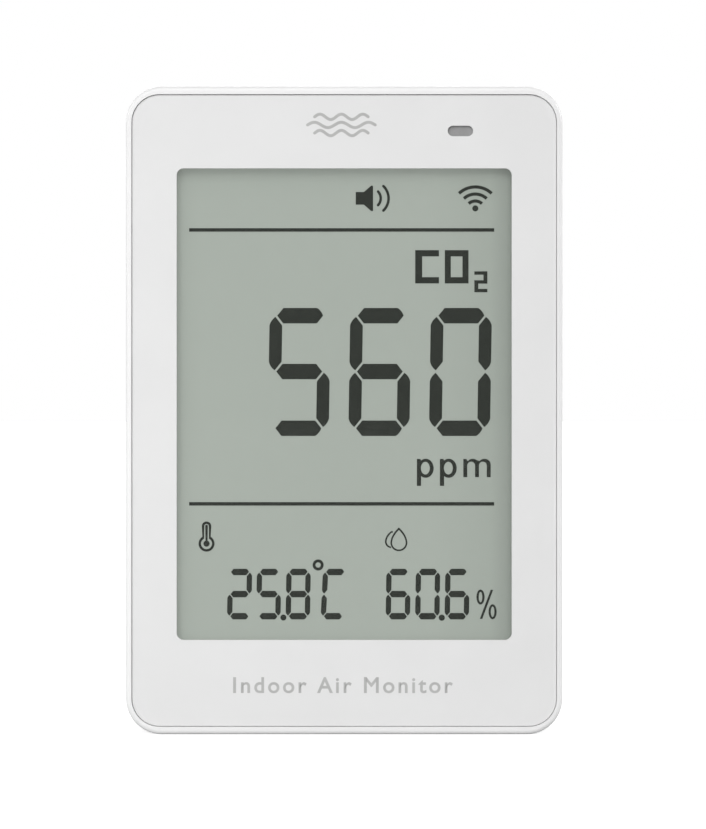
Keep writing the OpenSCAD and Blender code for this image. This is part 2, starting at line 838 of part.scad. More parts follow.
module function_button() {
    outer_x = body_w / 2 - button_inset;
    flange_x = body_w / 2 - wall - flange_gap;
    stem_x = switch_x + switch_size[0] + plunger_size[0];
    color("gainsboro") difference() {
        union() {
            side_pill(flange_x - button_flange_t / 2, outer_x, button_y, button_z, button_w, button_h);
            side_pill(flange_x - button_flange_t, flange_x, button_y, button_z,
                button_w + 2 * button_flange, button_h + 2 * button_flange);
            side_layer(stem_x, flange_x - button_flange_t / 2) translate([button_y, button_z])
                square([plunger_size[1], plunger_size[2]], center = true);
        }
        translate([outer_x - dimple_d + dimple_r, button_y, button_z]) sphere(r = dimple_r, $fn = 96);
    }
}

module driver_chip()
    color("black") block(driver_x, driver_z, [driver_s, driver_t, driver_s], board_back_y + driver_stand);

module driver_leads() {
    first_x = -(driver_leads_per_side - 1) / 2 * driver_pitch - driver_lead[0] / 2;
    color("silver") for (turn = [0 : 3], i = [0 : driver_leads_per_side - 1])
        translate([driver_x, board_back_y, driver_z]) rotate([0, turn * 90, 0])
            translate([first_x + i * driver_pitch, 0, driver_s / 2]) union() {
                cube(driver_lead);
                cube([driver_lead[0], driver_t / 2, driver_lead[1]]);
            }
}

module voltage_regulator() {
    at = regulator_at;
    tab_z = at[1] + (regulator_size[2] + regulator_tab[2]) / 2;
    color("black") block(at[0], at[1], regulator_size, board_back_y);
    color("silver") block(at[0], tab_z, regulator_tab, board_back_y);
}

module input_capacitor() {
    at = capacitor_at;
    color("silver") {
        block(at[0], at[1], capacitor_base, board_back_y);
        rod_y(at[0], at[1], capacitor_r, board_back_y, board_back_y + capacitor_h);
    }
}

module power_inductor()
    color("dimgray") translate([inductor_at[0], 0, inductor_at[1]])
        rounded_block(inductor_size[0], inductor_size[2], inductor_r,
            board_back_y, board_back_y + inductor_size[1], 0, inductor_edge_r);

module clock_crystal()
    color("silver") block(crystal_at[0], crystal_at[1], crystal_size, board_back_y);

// Two-terminal chips of one size on the board's back
module chips(spots, size)
    for (at = spots) block(at[0], at[1], size, board_back_y);

module chip_capacitors() color("tan") chips(capacitor_spots, chip_size);

module chip_resistors() color("black") chips(resistor_spots, resistor_size);

// ---- Fold-out stand ----

module stand_leg() {
    leg_h = hinge_z + leg_heel - leg_z0;
    leg_mid = leg_z0 + leg_h / 2;
    core_z0 = leg_z0 + 2 * leg_rim;
    core_z1 = hinge_z - barrel_r - leg_rim;
    color("gainsboro") difference() {
        union() {
            translate([0, 0, leg_mid]) rounded_block(leg_w, leg_h, leg_r, leg_y0, leg_y1, 0, leg_edge_r);
            rod_x(hinge_y, hinge_z, barrel_r, -leg_w / 2, leg_w / 2);
        }
        // cored out from the inner side, with a rib down the middle
        for (s = [-1, 1])
            layer(leg_y0 - past, leg_y1 - leg_skin)
                translate([s * (leg_w / 4 + leg_rib_w / 4 - leg_rim / 2), 0])
                    panel(leg_w / 2 - leg_rim - leg_rib_w / 2, core_z0, core_z1);
        rod_x(hinge_y, hinge_z, pin_r + leg_bore_clear, -leg_w, leg_w);
        translate([-pad_w / 2, pad_y, leg_z0 - past]) cube([pad_w, pad_t, pad_depth + past]);
        // grooves that give a fingertip hold at the free end
        for (i = [0 : grip_grooves - 1])
            rod_x(leg_y1 + grip_r - grip_d, leg_z0 + grip_z + i * grip_pitch,
                grip_r, -grip_w / 2, grip_w / 2);
    }
}

module stand_pin()
    color("silver") rod_x(hinge_y, hinge_z, pin_r, -recess_w / 2 - pin_reach, recess_w / 2 + pin_reach);

module stand_foot_pad()
    color("dimgray") translate([-pad_w / 2, pad_y, leg_z0 + pad_depth - pad_h]) cube([pad_w, pad_t, pad_h]);

front_cover();
rear_housing();
display_lens();
display_gasket();
lcd_front_polarizer();
lcd_front_glass();
lcd_rear_glass();
lcd_rear_polarizer();
backlight_diffuser();
light_guide();
backlight_reflector();
backlight_leds();
display_frame();
zebra_connector();
status_light_pipe();
status_led();
main_board();
board_screws();
case_screws();
wifi_board();
wifi_shield();
co2_sensor_board();
co2_sensor_pins();
co2_optical_chamber();
co2_lamp();
co2_detector();
co2_dust_filter();
climate_sensor();
buzzer_case();
buzzer_diaphragm();
usb_c_shell();
usb_c_tongue();
switch_body();
switch_plunger();
function_button();
driver_chip();
driver_leads();
voltage_regulator();
input_capacitor();
power_inductor();
chip_capacitors();
chip_resistors();
clock_crystal();
vent_meshes();
stand_leg();
stand_pin();
stand_foot_pad();
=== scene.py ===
"""Looks of the desk and wall carbon dioxide monitor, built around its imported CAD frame."""
import json
import math

import bmesh
import bpy
from mathutils import Matrix, Vector


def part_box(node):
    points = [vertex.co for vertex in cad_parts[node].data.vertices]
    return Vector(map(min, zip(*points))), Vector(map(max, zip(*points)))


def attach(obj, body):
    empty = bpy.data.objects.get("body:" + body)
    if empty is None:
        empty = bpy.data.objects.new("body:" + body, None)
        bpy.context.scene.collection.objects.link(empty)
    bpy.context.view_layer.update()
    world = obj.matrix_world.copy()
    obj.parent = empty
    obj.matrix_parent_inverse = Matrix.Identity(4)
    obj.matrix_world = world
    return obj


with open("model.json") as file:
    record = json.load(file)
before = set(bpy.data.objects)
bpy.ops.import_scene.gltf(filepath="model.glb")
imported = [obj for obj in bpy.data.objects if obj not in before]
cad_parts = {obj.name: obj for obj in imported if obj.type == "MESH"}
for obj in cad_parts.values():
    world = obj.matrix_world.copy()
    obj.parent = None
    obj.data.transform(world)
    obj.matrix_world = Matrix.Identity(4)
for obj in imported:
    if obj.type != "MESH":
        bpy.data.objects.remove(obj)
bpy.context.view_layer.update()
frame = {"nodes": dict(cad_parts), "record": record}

MM = 0.001
ROOT = "root"


# ---- Places, from the CAD boxes, in millimetres ----

def low(node):
    """The node's lowest corner."""
    return [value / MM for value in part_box(node)[0]]


def high(node):
    """The node's highest corner."""
    return [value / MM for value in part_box(node)[1]]


BODY_LOW, BODY_HIGH = low("rear_housing"), high("rear_housing")
BODY_MID_X = (BODY_LOW[0] + BODY_HIGH[0]) / 2
BODY_MID_Z = (BODY_LOW[2] + BODY_HIGH[2]) / 2
BODY_TOP_Z = BODY_HIGH[2]
FACE_Y = low("front_cover")[1]
GLASS_MID_X = (low("display_lens")[0] + high("display_lens")[0]) / 2
GLASS_MID_Z = (low("display_lens")[2] + high("display_lens")[2]) / 2
DISPLAY_Y = low("lcd_front_polarizer")[1]
WINDOW_W, WINDOW_H = 47.6, 67.0         # the opening in the face
WINDOW_RIGHT = GLASS_MID_X + WINDOW_W / 2
WINDOW_TOP = GLASS_MID_Z + WINDOW_H / 2


# ---- Camera ----

VIEW_HEIGHT = 117.65         # what the picture's height takes in at the face, in mm
CAMERA_RIGHT = 1.25          # how far the camera stands to the right of the body's middle
CAMERA_DROP = 0.57           # and how far below it
FOCAL, SENSOR = 150.0, 36.0
NEAR, FAR = 0.01, 50         # what the camera sees, in metres


def make_camera():
    distance = VIEW_HEIGHT * FOCAL / SENSOR
    data = bpy.data.cameras.new("camera")
    data.lens = FOCAL
    data.sensor_width = SENSOR
    data.clip_start, data.clip_end = NEAR, FAR
    camera = bpy.data.objects.new("camera", data)
    place = (BODY_MID_X + CAMERA_RIGHT, BODY_LOW[1] - distance, BODY_MID_Z - CAMERA_DROP)
    camera.location = Vector(place) * MM
    camera.rotation_euler = (math.radians(90), 0, 0)
    bpy.context.scene.collection.objects.link(camera)
    bpy.context.scene.camera = camera


# ---- Material helpers ----

WAVE_PERIOD = math.pi / 10   # distance between the bands of a wave texture whose scale is 1


class Shader:
    """A new material with one Principled shader, and short calls that add nodes to it."""

    def __init__(self, name, colour, roughness, metallic=0.0, coat=0.0, coat_roughness=0.1, specular=0.5):
        self.material = bpy.data.materials.new(name)
        self.material.use_nodes = True
        self.tree = self.material.node_tree
        self.bsdf = self.tree.nodes["Principled BSDF"]
        self.colour = (*colour, 1.0)
        self.bsdf.inputs["Base Color"].default_value = self.colour
        self.bsdf.inputs["Roughness"].default_value = roughness
        self.bsdf.inputs["Metallic"].default_value = metallic
        self.bsdf.inputs["Coat Weight"].default_value = coat
        self.bsdf.inputs["Coat Roughness"].default_value = coat_roughness
        self.bsdf.inputs["Specular IOR Level"].default_value = specular
        self.roughness = roughness
        self.place = self.add("ShaderNodeTexCoord").outputs["Object"]

    def add(self, kind, **settings):
        node = self.tree.nodes.new(kind)
        for key, value in settings.items():
            setattr(node, key, value)
        return node

    def link(self, source, target):
        self.tree.links.new(source, target)

    def stretched(self, stretch):
        """The place on the object, with its X, Y and Z scaled by stretch."""
        mapping = self.add("ShaderNodeMapping")
        mapping.inputs["Scale"].default_value = stretch
        self.link(self.place, mapping.inputs["Vector"])
        return mapping.outputs["Vector"]

    def noise(self, size_mm, detail=2.0, stretch=None):
        """Soft patches about size_mm across."""
        node = self.add("ShaderNodeTexNoise")
        node.inputs["Scale"].default_value = 1 / (size_mm * MM)
        node.inputs["Detail"].default_value = detail
        self.link(self.stretched(stretch) if stretch else self.place, node.inputs["Vector"])
        return node.outputs["Fac"]

    def cells(self, size_mm):
        """Round cells about size_mm across, as in foam."""
        node = self.add("ShaderNodeTexVoronoi")
        node.inputs["Scale"].default_value = 1 / (size_mm * MM)
        self.link(self.place, node.inputs["Vector"])
        return node.outputs["Distance"]

    def bands(self, size_mm, direction):
        """Stripes that repeat every size_mm along X, Y or Z."""
        node = self.add("ShaderNodeTexWave", wave_type="BANDS", bands_direction=direction)
        node.inputs["Scale"].default_value = WAVE_PERIOD / (size_mm * MM)
        self.link(self.place, node.inputs["Vector"])
        return node.outputs["Fac"]

    def spread(self, source, lowest, highest, start=0.3, end=0.7):
        """Turns a value that runs from start to end into one that runs from lowest to highest."""
        node = self.add("ShaderNodeMapRange")
        node.inputs["From Min"].default_value = start
        node.inputs["From Max"].default_value = end
        node.inputs["To Min"].default_value = lowest
        node.inputs["To Max"].default_value = highest
        self.link(source, node.inputs["Value"])
        return node.outputs["Result"]

    def blend(self, fac, first, second):
        """A colour between two, by fac."""
        node = self.add("ShaderNodeMix", data_type="RGBA")
        node.inputs["A"].default_value = (*first, 1.0)
        node.inputs["B"].default_value = (*second, 1.0)
        self.link(fac, node.inputs["Factor"])
        return node.outputs["Result"]

    def combine(self, operation, first, second):
        """Arithmetic on two values, each a number or a node's output."""
        node = self.add("ShaderNodeMath", operation=operation)
        for socket, value in zip(node.inputs, (first, second)):
            if isinstance(value, (int, float)):
                socket.default_value = value
            else:
                self.link(value, socket)
        return node.outputs["Value"]

    def mottle(self, size_mm, amount):
        """Lets the base colour drift by amount, up and down, in patches of size_mm."""
        base = self.colour[:3]
        pale = [min(1.0, value * (1 + amount)) for value in base]
        deep = [value * (1 - amount) for value in base]
        fac = self.spread(self.noise(size_mm, 3.0), 0, 1)
        self.link(self.blend(fac, deep, pale), self.bsdf.inputs["Base Color"])

    def vary_roughness(self, size_mm, amount, stretch=None):
        """Lets the roughness drift by amount, up and down, in patches of size_mm."""
        fac = self.noise(size_mm, 3.0, stretch)
        low_end, high_end = max(0.02, self.roughness - amount), min(1.0, self.roughness + amount)
        self.link(self.spread(fac, low_end, high_end), self.bsdf.inputs["Roughness"])

    def bump(self, height, depth_mm):
        """Relief of depth_mm that follows height."""
        node = self.add("ShaderNodeBump")
        node.inputs["Strength"].default_value = 1.0
        node.inputs["Distance"].default_value = depth_mm * MM
        self.link(height, node.inputs["Height"])
        self.link(node.outputs["Normal"], self.bsdf.inputs["Normal"])


# ---- Materials, one function for each kind of finish ----

def moulded(name, colour, roughness, grain_mm=0.22):
    """Injection-moulded plastic with a fine spark-eroded grain."""
    s = Shader(name, colour, roughness)
    s.mottle(9, 0.012)
    s.vary_roughness(4, 0.04)
    waviness = s.combine("MULTIPLY", s.noise(grain_mm * 4, 2.0), 0.4)
    s.bump(s.combine("ADD", s.noise(grain_mm, 4.0), waviness), 0.004)
    return s.material


def soft_rubber(name, colour):
    """Dull rubber with a fine grain."""
    s = Shader(name, colour, 0.78, specular=0.3)
    s.mottle(3, 0.08)
    s.bump(s.noise(0.3, 4.0), 0.01)
    return s.material


def foam(name, colour):
    """Open foam with small cells."""
    s = Shader(name, colour, 0.95, specular=0.1)
    s.mottle(1, 0.15)
    s.bump(s.cells(0.35), 0.06)
    return s.material


def rolled_metal(name, colour, roughness, stretch=(1, 1, 12)):
    """Sheet or drawn metal with fine lines that run across the axis with the largest stretch."""
    line_mm = 0.12
    s = Shader(name, colour, roughness, metallic=1.0)
    s.mottle(2, 0.05)
    s.vary_roughness(line_mm * 2, 0.08, stretch)
    s.bump(s.noise(line_mm, 3.0, stretch), 0.0015)
    return s.material


def clear_pane(name):
    """A thin clear window: it shows what is behind it and mirrors a little, more at a slant."""
    roughness, straight_on, at_a_slant = 0.03, 0.01, 0.6
    s = Shader(name, (1, 1, 1), roughness)
    slant = s.add("ShaderNodeLayerWeight").outputs["Facing"]
    rising = s.combine("MULTIPLY", s.combine("POWER", slant, 5.0), at_a_slant)
    mirrored = s.combine("ADD", rising, straight_on)
    gloss = s.add("ShaderNodeBsdfAnisotropic")
    gloss.inputs["Roughness"].default_value = roughness
    smudge = s.spread(s.noise(12, 3.0), 0.9, 1.0)
    tint = s.add("ShaderNodeCombineColor")
    for channel in ("Red", "Green", "Blue"):
        s.link(smudge, tint.inputs[channel])
    s.link(tint.outputs["Color"], gloss.inputs["Color"])
    through = s.add("ShaderNodeBsdfTransparent")
    through.inputs["Color"].default_value = (0.97, 0.985, 0.975, 1.0)
    mix = s.add("ShaderNodeMixShader")
    s.link(mirrored, mix.inputs["Fac"])
    s.link(through.outputs["BSDF"], mix.inputs[1])
    s.link(gloss.outputs["BSDF"], mix.inputs[2])
    s.link(mix.outputs["Shader"], s.tree.nodes["Material Output"].inputs["Surface"])
    s.tree.nodes.remove(s.bsdf)
    return s.material


# Painted shade on the display: its glow is turned down near the window's top and right edges, for the
# shadow of the window's edge. Each fade has its start and end, in mm inside the edge, and what is left of
# the light after it.
PAINTED_SHADE_RIGHT = (11, 3, 0.86)
PAINTED_SHADE_RIM_RIGHT = (3, 0.3, 0.62)
PAINTED_SHADE_TOP = (4.5, 1.5, 0.92)


def display_film(name, colour, glow):
    """The grey-green layer that the segments stand out against. It glows a little, as from its backlight,
    and the glow also lightens the shade that the window's edge casts on it. Towards the top and right edges
    the glow is turned down as painted shade, for the shadow of the window's edge."""
    s = Shader(name, colour, 0.55, specular=0.25)
    wide = s.spread(s.noise(30, 2.0), 0, 1)
    fine = s.spread(s.noise(0.12, 2.0), 0, 1)
    fac = s.combine("ADD", s.combine("MULTIPLY", wide, 0.5), s.combine("MULTIPLY", fine, 0.5))
    deep = [value * 0.975 for value in colour]
    pale = [value * 1.025 for value in colour]
    s.link(s.blend(fac, deep, pale), s.bsdf.inputs["Base Color"])
    s.bump(s.noise(0.12, 2.0), 0.001)

    parts = s.add("ShaderNodeSeparateXYZ")
    s.link(s.place, parts.inputs["Vector"])

    def fade(axis, edge, steps, full):
        start, end, left = steps
        return s.spread(parts.outputs[axis], full, full * left, (edge - start) * MM, (edge - end) * MM)

    # Painted shade: the glow darkens towards the window's right edge, first broadly and then close to the
    # edge, and under its top edge.
    painted_shade_far_right = fade("X", WINDOW_RIGHT, PAINTED_SHADE_RIGHT, glow)
    painted_shade_rim_right = fade("X", WINDOW_RIGHT, PAINTED_SHADE_RIM_RIGHT, 1)
    painted_shade_rim_top = fade("Z", WINDOW_TOP, PAINTED_SHADE_TOP, 1)
    s.link(s.combine("MULTIPLY", painted_shade_far_right, s.combine("MULTIPLY", painted_shade_rim_right, painted_shade_rim_top)),
           s.bsdf.inputs["Emission Strength"])
    s.bsdf.inputs["Emission Color"].default_value = (*[value / max(colour) for value in colour], 1.0)
    return s.material


def ink(name, colour, roughness=0.5, specular=0.3):
    """Printed marks and display segments: a plain film with a faint grain."""
    s = Shader(name, colour, roughness, specular=specular)
    s.mottle(1.5, 0.05)
    s.bump(s.noise(0.1, 2.0), 0.0015)
    return s.material


def thin_glass(name, colour):
    """A glass sheet or bulb."""
    s = Shader(name, colour, 0.05)
    s.bsdf.inputs["Transmission Weight"].default_value = 0.85
    s.mottle(10, 0.02)
    s.bump(s.noise(6, 2.0), 0.001)
    return s.material


def tinted_acrylic(name, colour, roughness=0.25):
    """Cloudy plastic that carries light."""
    s = Shader(name, colour, roughness, coat=0.4, coat_roughness=0.15)
    s.mottle(0.8, 0.05)
    s.bump(s.noise(0.4, 2.0), 0.002)
    return s.material


def circuit_board(name):
    """Green solder mask over copper tracks."""
    mask, copper = (0.015, 0.10, 0.042), (0.04, 0.21, 0.09)
    s = Shader(name, mask, 0.35, coat=0.3)
    across = s.spread(s.bands(1.2, "X"), 0, 1, 0.55, 0.62)
    along = s.spread(s.bands(1.7, "Z"), 0, 1, 0.62, 0.68)
    area = s.spread(s.noise(5, 1.0), 0, 1, 0.48, 0.52)
    tracks = s.combine("ADD", s.combine("MULTIPLY", across, area),
                       s.combine("MULTIPLY", along, s.combine("SUBTRACT", 1.0, area)))
    s.link(s.blend(tracks, mask, copper), s.bsdf.inputs["Base Color"])
    s.bump(tracks, 0.03)
    return s.material


def woven_mesh(name):
    """Fine woven steel mesh with dark gaps. It has wires for all three axes, so that two sets of them
    cross on a sheet that faces any way."""
    gap, wire, pitch_mm = (0.012, 0.012, 0.013), (0.30, 0.30, 0.31), 0.42
    s = Shader(name, wire, 0.4, metallic=0.8)
    wires = s.bands(pitch_mm, "X")
    for axis in "ZY":
        wires = s.combine("MAXIMUM", wires, s.bands(pitch_mm, axis))
    s.link(s.blend(s.spread(wires, 0, 1, 0.5, 0.9), gap, wire), s.bsdf.inputs["Base Color"])
    s.bump(wires, 0.12)
    return s.material


def striped_rubber(name):
    """Silicone with fine carbon layers, as in a display connector."""
    silicone, carbon = (0.5, 0.28, 0.3), (0.05, 0.05, 0.05)
    s = Shader(name, silicone, 0.6)
    stripes = s.spread(s.bands(0.3, "X"), 0, 1, 0.45, 0.55)
    s.link(s.blend(stripes, silicone, carbon), s.bsdf.inputs["Base Color"])
    s.bump(s.noise(0.3, 2.0), 0.01)
    return s.material


def phosphor(name):
    """The yellow resin on a white light-emitting diode."""
    s = Shader(name, (0.85, 0.72, 0.2), 0.45, coat=0.5)
    s.mottle(0.3, 0.1)
    s.bump(s.noise(0.2, 3.0), 0.01)
    return s.material


WHITE_FACE = (0.67, 0.67, 0.67)
WHITE_SHELL = (0.74, 0.74, 0.74)

FINISHES = {
    "face_plastic": lambda name: moulded(name, WHITE_FACE, roughness=0.5),
    "housing_plastic": lambda name: moulded(name, WHITE_SHELL, roughness=0.38),
    "window_glass": clear_pane,
    "foam": lambda name: foam(name, (0.45, 0.45, 0.45)),
    # The film's glow, as from a faint backlight, is also set to lighten the shade in the window's recess,
    # which makes it partly painted light.
    "polarizer_film": lambda name: display_film(name, (0.195, 0.205, 0.190), glow=0.21),
    "display_glass": lambda name: thin_glass(name, (0.9, 0.94, 0.91)),
    "white_plastic": lambda name: moulded(name, (0.8, 0.8, 0.78), roughness=0.5),
    "clear_acrylic": lambda name: tinted_acrylic(name, (0.8, 0.86, 0.83), roughness=0.08),
    "smoke_acrylic": lambda name: tinted_acrylic(name, (0.255, 0.255, 0.255)),
    "led_package": phosphor,
    "zebra_rubber": striped_rubber,
    "circuit_board": circuit_board,
    "steel": lambda name: rolled_metal(name, (0.34, 0.34, 0.35), 0.42),
    "gold_plate": lambda name: rolled_metal(name, (0.85, 0.62, 0.25), 0.28),
    "chip_black": lambda name: moulded(name, (0.018, 0.018, 0.02), roughness=0.55, grain_mm=0.1),
    "tin": lambda name: rolled_metal(name, (0.75, 0.75, 0.73), 0.3),
    "aluminium_can": lambda name: rolled_metal(name, (0.78, 0.78, 0.79), 0.3, stretch=(1, 12, 1)),
    "ceramic": lambda name: moulded(name, (0.42, 0.27, 0.15), roughness=0.6, grain_mm=0.15),
    "lamp_glass": lambda name: thin_glass(name, (0.98, 0.95, 0.85)),
    "brass_disc": lambda name: rolled_metal(name, (0.75, 0.52, 0.2), 0.3),
    "steel_mesh": woven_mesh,
    "pad_rubber": lambda name: soft_rubber(name, (0.06, 0.06, 0.062)),
}


def dress_nodes():
    """Gives each CAD node the finish of its slot in the record."""
    made = {}
    for part in frame["record"]["subparts"]:
        slot_name = part["material_slot"]
        if slot_name not in made:
            made[slot_name] = FINISHES[slot_name](slot_name)
        data = frame["nodes"][part["node"]].data
        data.materials.clear()
        data.materials.append(made[slot_name])


# ---- Flat shapes: outlines of (x, z) points in millimetres ----

def arc(cx, cz, rx, start, end, steps=16, rz=None):
    """Points round (cx, cz) from start to end, in degrees from the right and up."""
    rz = rx if rz is None else rz
    turns = [math.radians(start + (end - start) * i / steps) for i in range(steps + 1)]
    return [(cx + rx * math.cos(t), cz + rz * math.sin(t)) for t in turns]


def oval(cx, cz, rx, rz=None):
    return arc(cx, cz, rx, 0, 360, 48, rz)[:-1]


def ring(cx, cz, rx, width, rz=None):
    """The outer and inner outline of a round line of that width."""
    rz = rx if rz is None else rz
    return [oval(cx, cz, rx, rz), oval(cx, cz, rx - width, rz - width)]


def block(x0, z0, x1, z1):
    return [(x0, z0), (x1, z0), (x1, z1), (x0, z1)]


def stroke(path, width, round_ends=False):
    """The outline of an open line of that width through the points of path."""
    sides = ([], [])
    for i, (x, z) in enumerate(path):
        ahead, behind = path[min(i + 1, len(path) - 1)], path[max(i - 1, 0)]
        dx, dz = ahead[0] - behind[0], ahead[1] - behind[1]
        length = math.hypot(dx, dz)
        nx, nz = -dz / length * width / 2, dx / length * width / 2
        sides[0].append((x + nx, z + nz))
        sides[1].append((x - nx, z - nz))
    if not round_ends:
        return sides[0] + sides[1][::-1]
    outline = list(sides[0])
    for (x, z), edge, back in ((path[-1], sides[0][-1], sides[1][::-1]), (path[0], sides[1][0], [])):
        angle = math.degrees(math.atan2(edge[1] - z, edge[0] - x))
        outline += arc(x, z, width / 2, angle, angle - 180, 8)[1:-1] + back
    return outline


def bowed(start, end, bulge, steps=5):
    """Points from start to end on a line that bows out to its left by bulge of its length."""
    dx, dz = end[0] - start[0], end[1] - start[1]
    points = []
    for i in range(steps + 1):
        t = i / steps
        out = 4 * bulge * t * (1 - t)
        points.append((start[0] + dx * t - dz * out, start[1] + dz * t + dx * out))
    return points


# ---- Seven-segment digits ----

LIT = {"0": "abcdef", "2": "abged", "5": "afgcd", "6": "afgecd", "8": "abcdefg", "C": "afed"}
BULGE = 0.09


def bar_outline(zc, width, bar, post, gap, outward):
    """A level segment; outward is 1 on the top one, -1 on the bottom one and 0 in the middle."""
    tip, shoulder = post / 2 + gap, bar / 2 / 1.26
    left, right = tip, width - tip
    top, bottom = zc + bar / 2, zc - bar / 2
    upper = bowed((right, zc), (right - shoulder, top), -BULGE if outward > 0 else 0)
    lower = bowed((right - shoulder, bottom), (right, zc), -BULGE if outward < 0 else 0)
    return [(left, zc), (left + shoulder, bottom)] + lower + upper[1:] + [(left + shoulder, top)]


def post_outline(z0, z1, post, gap):
    """An upright segment with its rounded side at x = 0, between the joints at z0 and z1."""
    tip_x, outer, inner = post * 0.46, post * 0.66, post * 0.68
    low_tip, high_tip = (tip_x, z0 + gap), (tip_x, z1 - gap)
    up = bowed((0, high_tip[1] - outer), high_tip, BULGE)
    down = bowed(low_tip, (0, low_tip[1] + outer), BULGE)
    return down + up + [(post, high_tip[1] - inner), (post, low_tip[1] + inner)]


def digit(char, x, z, width, height, bar, post, gap, rise, lean=0.016):
    """Outlines of a digit's segments; rise is how far its middle bar lies above half its height."""
    bottom, middle, top = bar / 2, height / 2 + rise, height - bar / 2
    made = {
        "a": bar_outline(top, width, bar, post, gap, 1),
        "g": bar_outline(middle, width, bar, post, gap, 0),
        "d": bar_outline(bottom, width, bar, post, gap, -1),
        "f": post_outline(middle, top, post, gap),
        "e": post_outline(bottom, middle, post, gap),
    }
    for right, left in (("b", "f"), ("c", "e")):
        made[right] = [(width - px, pz) for px, pz in reversed(made[left])]
    return [[(x + px + (pz - middle) * lean, z + pz) for px, pz in made[s]] for s in LIT[char]]


# ---- Pieces made from flat shapes ----

SEGMENT_T = 0.03             # thickness of the display's marks
PRINT_T = 0.02               # thickness of the printing on the face
CAP_HEIGHT = 0.729           # height of a capital in the built-in font, for a size of 1


def flat_mesh(name, outlines, thickness):
    """A slab with these outlines, in millimetres, facing the viewer. An outline inside another is a hole."""
    curve = bpy.data.curves.new(name, "CURVE")
    curve.dimensions = "2D"
    curve.fill_mode = "BOTH"
    curve.extrude = thickness / 2
    for outline in outlines:
        spline = curve.splines.new("POLY")
        spline.points.add(len(outline) - 1)
        for point, (x, z) in zip(spline.points, outline):
            point.co = (x, z, 0, 1)
        spline.use_cyclic_u = True
    return curve


def lettering(name, text, height, spacing):
    """Text with capitals of that height, in millimetres, centred on x = 0 with its baseline on z = 0."""
    curve = bpy.data.curves.new(name, "FONT")
    curve.body = text
    curve.size = height / CAP_HEIGHT
    curve.space_character = spacing
    curve.extrude = PRINT_T / 2
    curve.align_x = "CENTER"
    curve.resolution_u = 6
    return curve


def thicken(flat, amount):
    """Moves the outline of a flat slab outwards by amount, at corners as far as their two sides need."""
    flat.normal_update()
    moves = {}
    for vert in flat.verts:
        sides = [face.normal for face in vert.link_faces if abs(face.normal.z) < 0.5]
        if sides:
            middle = sum(sides, Vector()).normalized()
            steepness = max(0.4, middle.dot(sides[0]))
            moves[vert] = middle * amount / steepness
    for vert, move in moves.items():
        vert.co += Vector((move.x, move.y, 0))


def filled(curve, grow):
    """The mesh of a filled curve, with its doubled points joined and its outline moved out by grow."""
    source = bpy.data.objects.new(curve.name + "_source", curve)
    bpy.context.scene.collection.objects.link(source)
    bpy.context.view_layer.update()
    evaluated = source.evaluated_get(bpy.context.evaluated_depsgraph_get())
    mesh = bpy.data.meshes.new_from_object(evaluated)
    bpy.data.objects.remove(source)
    clean = bmesh.new()
    clean.from_mesh(mesh)
    bmesh.ops.remove_doubles(clean, verts=clean.verts, dist=0.0005)
    bmesh.ops.recalc_face_normals(clean, faces=clean.faces)
    if grow:
        thicken(clean, grow)
    clean.to_mesh(mesh)
    clean.free()
    return mesh


def printed(name, curve, front_y, thickness, material, shift=(0.0, 0.0), grow=0.0):
    """Turns a filled curve into a mesh piece whose back lies on front_y, and lets it ride on the housing."""
    mesh = filled(curve, grow)
    mesh.name = name
    place = Matrix.Translation((shift[0] * MM, (front_y - thickness / 2) * MM, shift[1] * MM))
    mesh.transform(place @ Matrix.Rotation(math.radians(90), 4, "X") @ Matrix.Scale(MM, 4))
    mesh.materials.clear()
    mesh.materials.append(material)
    piece = bpy.data.objects.new(name, mesh)
    bpy.context.scene.collection.objects.link(piece)
    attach(piece, ROOT)


# ---- What the display shows. Places are measured from the middle of the window ----

BIG_DIGIT = dict(width=8.7, height=18.24, bar=2.2, post=1.82, gap=0.17, rise=0.06)
SMALL_DIGIT = dict(width=3.48, height=7.22, bar=0.92, post=0.76, gap=0.08, rise=0)
BIG_FOOT, SMALL_FOOT, UNIT_FOOT = -4.53, -30.67, -10.4     # heights that the characters stand on


def gas_number():
    left, pitch = -10.76, 11.485
    made = []
    for i, char in enumerate("560"):
        made += digit(char, left + pitch * i, BIG_FOOT, **BIG_DIGIT)
    return made


def small_digits(chars, places):
    """Outlines of small digits with their left edges at those places."""
    made = []
    for char, x in zip(chars, places):
        made += digit(char, x, SMALL_FOOT, **SMALL_DIGIT)
    return made


def temperature():
    """The number with its point, and the degree sign and letter after it."""
    letter = digit("C", -3.2, SMALL_FOOT, **SMALL_DIGIT, lean=0.05)
    point = oval(-8.67, -30.4, 0.43)
    degree = ring(-3.72, -22.91, 0.79, 0.42)
    return small_digits("258", (-16.65, -12.5, -8.3)) + letter + [point] + degree


def humidity():
    """The number with its point, and the percent sign after it."""
    point = oval(13.9, -30.42, 0.44)
    slash = [(19.32, -30.6), (19.67, -30.6), (21.22, -26.45), (20.87, -26.45)]
    rings = []
    for cx, cz in ((19.42, -27.48), (21.14, -29.58)):
        rings += ring(cx, cz, 0.58, 0.33, rz=1.07)
    return small_digits("606", (5.95, 10.15, 14.35)) + [point] + rings + [slash]


def rules():
    left, right, half = -22.1, 21.37, 0.25
    return [block(left, z - half, right, z + half) for z in (24.83, -14.2)]


def square_c(left, right, foot, top, post, level):
    """A square C, with a post on its left and level strokes at its foot and top."""
    inner, low_edge, high_edge = left + post, foot + level, top - level
    return [(left, foot), (right, foot), (right, low_edge), (inner, low_edge),
            (inner, high_edge), (right, high_edge), (right, top), (left, top)]


def square_two(left, right, foot, top, middle, post, level):
    """A square 2; middle is the lower edge of its middle stroke."""
    return [(left, foot), (right, foot), (right, foot + level), (left + post, foot + level),
            (left + post, middle), (right, middle), (right, top), (left, top),
            (left, top - level), (right - post, top - level), (right - post, middle + level),
            (left, middle + level)]


